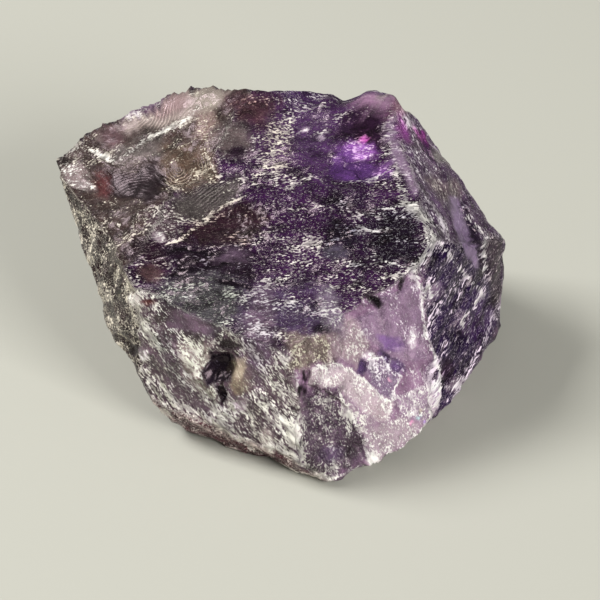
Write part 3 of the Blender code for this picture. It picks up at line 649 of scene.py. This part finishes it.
# Ridge lines bruised white: half width, frost colour, frost, and the points that they follow.
BRUISES = (
    (0.30, "#DCD4D0", 0.62, ((8.4, 19.2), (8.6, 15.6), (9.4, 14.0), (9.9, 12.0), (10.4, 10.6),
      (11.2, 9.4))),
    (0.45, "#E0DCD4", 0.62, ((10.0, 11.4), (10.6, 10.0), (11.4, 9.2), (12.8, 7.8), (13.3, 6.2),
      (13.0, 5.2))),
    (0.40, "#E4E0DA", 0.60, ((13.4, 6.0), (12.8, 4.8), (11.4, 3.4), (11.6, 2.4))),
    (0.16, "#FCF8F4", 0.80, ((11.6, 2.4), (12.1, 0.8), (12.5, -3.4), (13.6, -5.8), (14.2, -8.2))),
    (0.22, "#E0DAD8", 0.60, ((13.9, 5.9), (15.2, 4.2), (16.4, 2.6), (17.8, 1.2), (18.4, 0.2))),
    (0.28, "#DCD6D2", 0.55, ((16.2, 9.0), (17.4, 7.6), (18.6, 6.6))),
    (0.18, "#E4E0DC", 0.66, ((18.6, 6.4), (18.5, 3.2), (18.3, 2.6))),
    (0.14, "#E0DCD4", 0.60, ((16.0, -2.4), (17.0, -1.0), (18.2, 0.6))),
    (0.12, "#E0DCD4", 0.60, ((16.2, -2.2), (16.6, -3.4), (17.2, -4.2))),
    (0.28, "#E8E4DC", 0.62, ((-20.5, 14.8), (-18.9, 14.0), (-17.9, 14.1), (-16.4, 15.2),
      (-15.6, 16.0), (-13.9, 16.8), (-12.3, 17.5), (-10.9, 18.4), (-10.1, 19.4))),
    (0.20, "#E8E4DC", 0.55, ((-23.4, 14.6), (-22.0, 15.0), (-20.4, 14.6), (-19.0, 13.9))),
    (0.14, "#E8DCCC", 0.72, ((-13.5, 5.3), (-12.0, 6.0), (-11.0, 6.8), (-9.5, 8.0), (-8.5, 9.0),
      (-7.2, 9.5), (-5.5, 10.3))),
    (0.14, "#E0D8CC", 0.72, ((-16.9, 6.8), (-16.7, 7.8), (-16.0, 8.8), (-14.5, 9.4))),
    (0.12, "#E0D8CC", 0.66, ((-18.5, 7.8), (-17.4, 6.5))),
    (0.14, "#E4D8C4", 0.62, ((-14.0, 12.2), (-12.6, 11.0), (-11.0, 11.2))),
    (0.10, "#E8DCD0", 0.70, ((-9.6, 14.6), (-8.8, 13.4), (-8.4, 12.2))),
    (0.55, "#ECE4D4", 0.36, ((-0.8, 17.8), (-1.6, 16.0), (-3.4, 13.8), (-4.6, 12.0))),
    (0.22, "#E8E0D8", 0.55, ((-1.0, 11.2), (1.2, 12.4), (2.8, 12.0))),
    (0.20, "#E8E4DC", 0.36, ((4.4, 11.6), (6.4, 11.9), (8.0, 12.2), (9.4, 11.8))),
    (0.14, "#F0ECE4", 0.50, ((4.6, 5.4), (6.8, 5.0), (8.4, 4.0), (10.6, 3.2))),
    (0.12, "#E8E4E0", 0.60, ((6.8, 9.0), (8.6, 9.2), (10.4, 9.4))),
    (0.14, "#E8E4E0", 0.55, ((5.6, 7.4), (7.6, 6.8), (9.6, 7.2))),
    (0.15, "#FFFCF4", 0.85, ((1.2, -7.0), (3.2, -6.3), (4.6, -6.8), (6.2, -7.7), (7.5, -9.0),
      (8.5, -10.0), (9.3, -10.1))),
    (0.14, "#FCF8F4", 0.80, ((10.4, -6.8), (9.7, -8.5), (9.3, -10.0), (10.5, -9.6), (11.8, -8.9))),
    (0.16, "#FCF8F0", 0.80, ((3.8, -8.8), (4.5, -10.4), (5.2, -11.8), (5.9, -13.0), (6.4, -15.0),
      (7.2, -16.4))),
    (0.16, "#FCF8EE", 0.82, ((14.2, -8.4), (13.6, -10.8), (12.4, -12.8), (10.6, -14.8), (8.6, -16.0),
      (6.8, -16.8), (3.0, -17.9), (0.6, -17.6), (-2.6, -16.3))),
    (0.20, "#F4EEE4", 0.74, ((-13.2, -10.4), (-11.5, -10.6), (-9.8, -11.6), (-7.8, -12.8),
      (-5.8, -14.2), (-3.6, -15.6))),
    (0.15, "#F8F2E8", 0.78, ((-13.2, -12.2), (-12.2, -13.2), (-10.4, -14.1), (-8.8, -14.5),
      (-6.4, -15.3), (-4.2, -15.9))),
    (0.30, "#ECE8DC", 0.62, ((-15.8, -6.8), (-14.6, -8.6), (-13.6, -10.2), (-13.2, -11.6))),
    (0.14, "#D4D2CC", 0.60, ((-14.8, -3.2), (-13.6, -6.0), (-12.2, -7.6), (-10.6, -9.2))),
    (0.12, "#D4D2CC", 0.60, ((-13.8, -3.0), (-12.4, -6.2), (-11.0, -7.8), (-8.6, -10.0),
      (-6.6, -12.2))),
    (0.12, "#D8D4D0", 0.60, ((-9.8, -11.2), (-8.2, -12.2), (-6.8, -13.4))),
)

# Fans of fine ripples in the shell scars: where they spread from, the middle of the fan, half its
# width and how strong they are.
FANS = (
    ((-12.2, 13.1), (-12.2, 11.9), 1.3, 1.0),
    ((-12.2, 13.1), (-9.4, 13.3), 1.0, 0.9),
    ((-27.0, 35.0), (-9.2, 11.2), 1.9, 0.7),
    ((-17.5, 19.5), (-14.5, 18.2), 2.0, 0.6),
    ((-16.0, 8.0), (-17.0, 12.4), 2.0, 0.3),
)

# How the grain lies in each face, as (right, up) in the front view, and how far it is drawn out.
FLOW = {
    "crown": (1.0, 0.1, 2.2),
    "bench": (1.0, 0.6, 1.6),
    "right_shoulder": (0.45, -0.9, 2.6),
    "right_cheek": (0.5, 0.85, 4.2),
    "nose": (0.1, 1.0, 1.7),
    "brow": (0.3, 1.0, 1.5),
    "front_left": (0.65, -0.75, 2.8),
    "ledge": (-0.4, 1.0, 1.6),
}

# How soft the painting is. Its front part ends over PAINT_FADE of the facing, faces blend over
# FACE_BORDER in front and BACK_BORDER more behind, and outlines wander by noise of three sizes.
PAINT_EDGE, PAINT_FADE = -0.02, 0.15
FACE_BORDER, BACK_BORDER = 0.12, 0.9
CLOUD_SIZES = (4.6, 2.0)
CLOUD_STRENGTH, CLOUD_START, CLOUD_BORDER = 0.75, 0.1, 0.5
WANDER, FINE_WANDER, SWAY = 1.1, 0.45, 2.4
FINE_SHARE = 0.6
REGION_FRAY, BORDER_FRAY, BORDER_SWAY = 0.10, 0.25, 0.4
SPOT_FRAY, SPOT_RIM = 0.30, 1.6
FRINGE_HEIGHT, FRINGE_FROST = 0.7, 0.2
EDGE_FROST, EDGE_WIDTH = 0.15, 0.30
BRUISE_FRAY, BRUISE_ENDS, BRUISE_START = 0.16, 0.6, 0.3
FAN_RIM, FAN_FADE = 1.5, 0.3


def shifts(size, seed):
    """Two smooth random shifts of every point, from a seed and the next one."""
    return np.stack([noise(points, size, seed), noise(points, size, seed + 1)], axis=1)


def blend(value, weight, *finish):
    """Carries value towards a finish by each point's weight: value + weight (finish - value)."""
    value += weight[:, None] * (np.array(finish) - value)


def finish_of_points():
    """Deep colour, frost colour, frost and clearness of every point: a blend of the nearest faces'
    own, milky in some clouds behind and dark in others, then blended towards each region inside
    its outline, towards each spot inside its oval, and towards each bruised line near it."""
    front = rise((facing - PAINT_EDGE) / PAINT_FADE)
    first, second = np.partition(reach, 1, axis=1)[:, :2].T
    border = FACE_BORDER + BACK_BORDER * (1 - front)
    share = np.exp(-(reach - first[:, None]) / border[:, None])
    table = [(*linear(deep), *linear(pale), *rest) for deep, pale, *rest in FACE_FINISH.values()]
    value = share @ np.array(table) / share.sum(axis=1)[:, None]
    cloud = noise(points, CLOUD_SIZES[0], 111) + FINE_SHARE * noise(points, CLOUD_SIZES[1], 112)
    for (deep, pale, *rest), side in ((MILKY, 1), (DARK, -1)):
        weight = CLOUD_STRENGTH * (1 - front) * rise((side * cloud - CLOUD_START) / CLOUD_BORDER)
        blend(value, weight, *linear(deep), *linear(pale), *rest)
    wander = shifts(WANDER, 101)
    wander += FINE_SHARE * shifts(FINE_WANDER, 104)
    frayed = place + SPOT_FRAY * wander
    sway = shifts(SWAY, 106)
    for border, outline, deep, pale, *rest in REGIONS:
        here = place + (REGION_FRAY + BORDER_FRAY * border) * wander
        here += BORDER_SWAY * border * sway
        weight = front * rise(depth_inside(here, outline) / border + 0.5)
        blend(value, weight, *linear(deep), *linear(pale), *rest)
    for middle, wide, high, turn, deep, pale, *rest in SPOTS:
        weight = front * rise(SPOT_RIM - oval(frayed, middle, wide, high, turn))
        blend(value, weight, *linear(deep), *linear(pale), *rest)
    for middle, half, turn, glint in FRINGES:
        weight = front * rise(SPOT_RIM - oval(frayed, middle, half, FRINGE_HEIGHT * half, turn))
        blend(value, weight, *linear(glint), *linear(glint), FRINGE_FROST, 0.0)
    value[:, 6] += EDGE_FROST * np.exp((first - second) / EDGE_WIDTH)
    frayed = place + BRUISE_FRAY * wander
    for half, pale, frost, run in BRUISES:
        near, _, ends = nearest_on(frayed, run)
        weight = front * np.exp(-((near / half) ** 2)) * rise(ends / BRUISE_ENDS + BRUISE_START)
        blend(value[:, 3:7], weight, *linear(pale), frost)
    return np.clip(value, 0, 1)


def ripples():
    """Distance from the start of the strongest fan at every point, in mm, and how strong it is."""
    strongest = np.zeros(len(points))
    distance = np.zeros(len(points))
    for start, middle, half, strength in FANS:
        here = strength * rise(FAN_RIM - oval(place, middle, half, half)) * rise(facing / FAN_FADE)
        distance = np.where(here > strongest, np.hypot(*(place - start).T), distance)
        strongest = np.maximum(strongest, here)
    return distance, strongest


def flowing():
    """Points with each face's grain direction d shortened by its stretch k: p - (1 - 1/k) (p.d) d.
    d lies in the face: right X + up UP + c OUT, where its product with the normal is 0."""
    flow = points.copy()
    for name, (right, up, stretch) in FLOW.items():
        here = reach.argmin(axis=1) == list(FACES).index(name)
        n = toward(*FACES[name][:2])
        out = -(right * n[0] + up * (n @ VIEW_UP)) / (n @ VIEW_OUT)
        d = np.array([right, 0.0, 0.0]) + up * VIEW_UP + out * VIEW_OUT
        d /= np.linalg.norm(d)
        flow[here] -= (1 - 1 / stretch) * (points[here] @ d)[:, None] * d
    return flow


finish = finish_of_points()
fan, fan_strength = ripples()
triples = {"deep": finish[:, :3], "frost_colour": finish[:, 3:6], "flow": flowing() * MM}
singles = {"frost": finish[:, 6], "clear": finish[:, 7], "fan": fan, "ripple": fan_strength}
for name, columns in triples.items():
    layer = mesh.attributes.new(name, "FLOAT_VECTOR", "POINT")
    layer.data.foreach_set("vector", columns.astype(np.float32).ravel())
for name, column in singles.items():
    layer = mesh.attributes.new(name, "FLOAT", "POINT")
    layer.data.foreach_set("value", column.astype(np.float32))

quartz = bpy.data.materials.new("amethyst_broken_quartz")
quartz.use_nodes = True
quartz.node_tree.nodes.clear()


def add(material, kind, settings=(), **inputs):
    """Adds a node, applies its settings, and fills each named input: a socket is linked, and
    anything else becomes its value. In a name, __ stands for a space and _2 for input 2."""
    node = material.node_tree.nodes.new(kind)
    for key, value in dict(settings).items():
        setattr(node, key, value)
    for key, value in inputs.items():
        socket = node.inputs[int(key[1:]) if key[1:].isdigit() else key.replace("__", " ")]
        if isinstance(value, bpy.types.NodeSocket):
            material.node_tree.links.new(value, socket)
        else:
            socket.default_value = value
    return node


def painted(name, socket="Fac"):
    """What is painted on the points under a name."""
    return add(quartz, "ShaderNodeAttribute", {"attribute_name": name}).outputs[socket]


def sums(operation, *terms):
    """A Math node's result."""
    numbered = {f"_{i}": term for i, term in enumerate(terms)}
    return add(quartz, "ShaderNodeMath", {"operation": operation}, **numbered).outputs[0]


def vectors(operation, **inputs):
    """A Vector Math node's result."""
    return add(quartz, "ShaderNodeVectorMath", {"operation": operation}, **inputs).outputs[0]


def ramp(value, low, high, start=0.0, end=1.0):
    """value carried from low..high to start..end, held at both ends."""
    return add(quartz, "ShaderNodeMapRange", Value=value, From__Min=low, From__Max=high,
               To__Min=start, To__Max=end).outputs[0]


def blots(size, detail, roughness=0.5):
    """Noise drawn out along the grain: the size of its largest blots in mm, how many finer layers
    it has, and how strong each is beside the one before."""
    return add(quartz, "ShaderNodeTexNoise", Vector=flow, Scale=1 / (size * MM), Detail=detail,
               Roughness=roughness).outputs["Fac"]


# Flecks: bruised quartz scatters white where it is crushed into grains of FLECK, which lie in drifts
# of DRIFT, and the flecks also stand in for the glints of its tiny faces as painted highlights. They
# are cut off at the level that leaves the painted share of the skin, and are brighter and duller in
# patches of GLEAM. Sizes are in millimetres.
FLECK, GLEAM, DRIFT = 0.17, 0.5, 1.9
DRIFT_SHARE = 1.3
CUT_BARE, CUT_FROST = 1.43, -0.64
FLECK_EDGE = (-0.02, 0.08)
GLEAM_RANGE, GLEAM_ENDS = (0.35, 0.60), (0.35, 1.0)
flow = painted("flow", "Vector")
frost = painted("frost")
clear = painted("clear")
deep = painted("deep", "Vector")
pale = painted("frost_colour", "Vector")
grains = blots(FLECK, 1.0, 0.7)
gleam = blots(GLEAM, 1.0)
heap = sums("MULTIPLY_ADD", blots(DRIFT, 3.0, 0.65), DRIFT_SHARE, grains)
cut = sums("MULTIPLY_ADD", frost, CUT_FROST, CUT_BARE)
# White flecks: the white of crushed grains together with painted glints.
crushed_and_glints = ramp(sums("SUBTRACT", heap, cut), *FLECK_EDGE)
crushed_and_glints = sums("MULTIPLY", crushed_and_glints, ramp(gleam, *GLEAM_RANGE, *GLEAM_ENDS))

# Depth: the quartz under the skin is clouded and cracked, so it is darker and lighter in patches up
# to CLOUD mm wide, less so where it is milky. MILKY_RANGE is the lightness from dark to milky, and
# SWING_ENDS and LEVEL_ENDS say how much the patches and the whole count at its two ends.
CLOUD = 1.3
CLOUD_RANGE, CLOUD_ENDS = (0.36, 0.64), (-0.7, 0.8)
MILKY_RANGE = (0.02, 0.28)
SWING_ENDS, LEVEL_ENDS = (0.75, 0.25), (0.75, 1.0)
DEPTH_TINT = "#FFF0FC"
shade = ramp(blots(CLOUD, 5.0, 0.72), *CLOUD_RANGE, *CLOUD_ENDS)
milky = add(quartz, "ShaderNodeRGBToBW", Color=deep).outputs[0]
swing = ramp(milky, *MILKY_RANGE, *SWING_ENDS)
level = ramp(milky, *MILKY_RANGE, *LEVEL_ENDS)
tinted = vectors("MULTIPLY", _0=deep, _1=linear(DEPTH_TINT).tolist())
depth = vectors("SCALE", _0=tinted, Scale=sums("MULTIPLY_ADD", shade, swing, level))

# Steps: waves WAVE mm long run down in terraces, TERRACES of them from top to bottom. LIP and FOOT
# are shares of a terrace. Its lip is chipped white here and there, the more so the more frost there
# is, and painted shade darkens its foot, where the terrace meets the next, mostly where it isn't
# milky.
WAVE = 0.9
TERRACES = 13.0
LIP, FOOT = (0.22, 0.04), (0.62, 1.0)
CHIPPED_RANGE = (0.42, 0.58)
LIP_BY_FROST = (0.0, 0.30, 0.1, 0.85)
FOOT_ENDS = (0.7, 0.2)
waves = blots(WAVE, 3.0, 0.6)
tall = sums("MULTIPLY", waves, TERRACES)
part_way = sums("FRACT", tall)
lips = sums("MULTIPLY", ramp(part_way, *LIP), ramp(grains, *CHIPPED_RANGE))
white_lips = sums("MULTIPLY", lips, ramp(frost, *LIP_BY_FROST))
# Painted shade at the foot of each terrace.
foot = sums("MULTIPLY", ramp(part_way, *FOOT), ramp(milky, *MILKY_RANGE, *FOOT_ENDS))
depth = vectors("SCALE", _0=depth, Scale=sums("SUBTRACT", 1.0, foot))

# Ripples: the shell scars have fine wavering arcs RIPPLE_PITCH mm apart, chipped pale here and there
# on their crests, with painted light making the crests lighter and painted shade the troughs darker.
RIPPLE_PITCH = 0.30
RIPPLE_WAVER = 0.6
SWELL_RAMP = (0.0, 1.0, -0.4, 1.0)
CREST_RAMP = (0.5, 1.0, 0.0, 0.45)
CREST_ENDS = (0.4, 1.0)
along = sums("MULTIPLY_ADD", waves, RIPPLE_WAVER, painted("fan"))
swell = sums("SINE", sums("MULTIPLY", along, 2 * np.pi / RIPPLE_PITCH))
ring = sums("MULTIPLY", ramp(swell, *SWELL_RAMP), painted("ripple"))
crests = sums("MULTIPLY", ramp(ring, *CREST_RAMP), ramp(gleam, *GLEAM_RANGE, *CREST_ENDS))
fleck = sums("MAXIMUM", sums("MAXIMUM", crushed_and_glints, white_lips), crests)
# Painted light on the crests of the arcs and painted shade in their troughs.
depth = vectors("SCALE", _0=depth, Scale=sums("ADD", ring, 1.0))

# The surface: facets tip the bruised skin to and fro, its flecks are matt and let little light in,
# and the rest is glassy. FACETS are their sizes in mm and how far they tip by frost. Light is bent as
# in quartz and turns violet inside, and the shine is lowered and tinted to match the photo.
FACETS = (
    (1.6, (0.0, 0.2, 0.14, 0.55)),
    (0.45, (0.05, 0.4, 0.06, 0.9)),
)
THROUGH_ENDS = (0.65, 0.1)
FLECK_ROUGHNESS, ROUGHNESS_ENDS = 0.25, (0.36, 0.14)
STEP_RELIEF, RIPPLE_RELIEF = 0.7, 0.6
RELIEF_BY_FROST = (0.0, 0.2, 0.15, 1.0)
RELIEF_STRENGTH, RELIEF_HEIGHT = 0.6, 0.10
QUARTZ_IOR = 1.544
SHINE, SHINE_TINT = 0.34, "#E6CCD4"
INSIDE_COLOUR, INSIDE_DENSITY = "#A878C8", 110.0
colour = add(quartz, "ShaderNodeMix", {"data_type": "RGBA"}, _0=fleck, _6=depth, _7=pale).outputs[2]
through = sums("MULTIPLY", clear, ramp(fleck, 0.0, 1.0, *THROUGH_ENDS))
rough = sums("MULTIPLY_ADD", fleck, FLECK_ROUGHNESS, ramp(clear, 0.0, 1.0, *ROUGHNESS_ENDS))
leaning = add(quartz, "ShaderNodeNewGeometry").outputs["Normal"]
for size, tilt in FACETS:
    facets = add(quartz, "ShaderNodeTexVoronoi", Vector=flow, Scale=1 / (size * MM), Randomness=1.0)
    tip = vectors("SUBTRACT", _0=facets.outputs["Color"], _1=(0.5, 0.5, 0.5))
    leaning = vectors("ADD", _0=leaning, _1=vectors("SCALE", _0=tip, Scale=ramp(frost, *tilt)))
stairs = sums("MULTIPLY_ADD", sums("FLOOR", tall), STEP_RELIEF, grains)
coarse = sums("MULTIPLY", stairs, ramp(frost, *RELIEF_BY_FROST))
height = sums("MULTIPLY_ADD", ring, RIPPLE_RELIEF, coarse)
bump = add(quartz, "ShaderNodeBump", Height=height, Strength=RELIEF_STRENGTH,
           Distance=RELIEF_HEIGHT * MM, Normal=vectors("NORMALIZE", _0=leaning)).outputs[0]
shader = add(quartz, "ShaderNodeBsdfPrincipled", Base__Color=colour, Roughness=rough,
             Transmission__Weight=through, IOR=QUARTZ_IOR, Specular__IOR__Level=SHINE,
             Specular__Tint=(*linear(SHINE_TINT), 1), Normal=bump)
violet = add(quartz, "ShaderNodeVolumeAbsorption", Color=(*linear(INSIDE_COLOUR), 1),
             Density=INSIDE_DENSITY)
add(quartz, "ShaderNodeOutputMaterial", Surface=shader.outputs[0], Volume=violet.outputs[0])
mesh.materials.append(quartz)

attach(lump, "root")
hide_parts("amethyst")

# The floor: a plain pale sheet under the stone, matt, wider than the view.
FLOOR_HALF = 1.2
FLOOR_COLOUR, FLOOR_ROUGHNESS = "#B2B1A6", 0.7
floor_mesh = bpy.data.meshes.new("floor")
corners = [(x * FLOOR_HALF, y * FLOOR_HALF, 0.0) for x, y in ((-1, -1), (1, -1), (1, 1), (-1, 1))]
floor_mesh.from_pydata(corners, [], [(0, 1, 2, 3)])
floor = bpy.data.objects.new("floor", floor_mesh)
bpy.context.scene.collection.objects.link(floor)
pale_floor = bpy.data.materials.new("pale_matt_floor")
pale_floor.use_nodes = True
floor_inputs = pale_floor.node_tree.nodes["Principled BSDF"].inputs
floor_inputs["Base Color"].default_value = (*linear(FLOOR_COLOUR), 1)
floor_inputs["Roughness"].default_value = FLOOR_ROUGHNESS
floor_mesh.materials.append(pale_floor)

# The light: a wide soft lamp high on the left, one at the front right, and a pale room all round.
# Lamps: name, where it is and its size in metres, and its power in watts.
LAMPS = (
    ("key", (-0.40, 0.12, 0.44), 0.22, 4.2),
    ("fill", (0.38, -0.42, 0.34), 0.28, 4.1),
)
ROOM_COLOUR, ROOM_STRENGTH = "#E6E6E2", 0.25
target = (points.min(axis=0) + points.max(axis=0)) / 2 * MM
for name, spot, size, power in LAMPS:
    lamp = bpy.data.lights.new(name, "AREA")
    lamp.size = size
    lamp.energy = power
    light = bpy.data.objects.new(name, lamp)
    light.location = spot
    out = np.array(spot) - target
    out /= np.linalg.norm(out)
    light.rotation_euler = (np.arccos(out[2]), 0.0, np.arctan2(out[0], -out[1]))
    bpy.context.scene.collection.objects.link(light)
world = bpy.data.worlds.new("pale_room")
world.use_nodes = True
room_inputs = world.node_tree.nodes["Background"].inputs
room_inputs["Color"].default_value = (*linear(ROOM_COLOUR), 1)
room_inputs["Strength"].default_value = ROOM_STRENGTH
bpy.context.scene.world = world
bpy.context.scene.view_settings.view_transform = "Standard"

# The camera: 40 degrees above the floor and 350 mm from the stone, as the front view above.
lens = bpy.data.cameras.new("camera")
lens.sensor_width = 36.0
lens.lens = 210.0
lens.clip_start = 0.01
camera = bpy.data.objects.new("camera", lens)
camera.location = (VIEW_AIM + VIEW_OUT * VIEW_FAR) * MM
camera.rotation_euler = (radians(90) - VIEW_SLOPE, 0.0, 0.0)
bpy.context.scene.collection.objects.link(camera)
bpy.context.scene.camera = camera
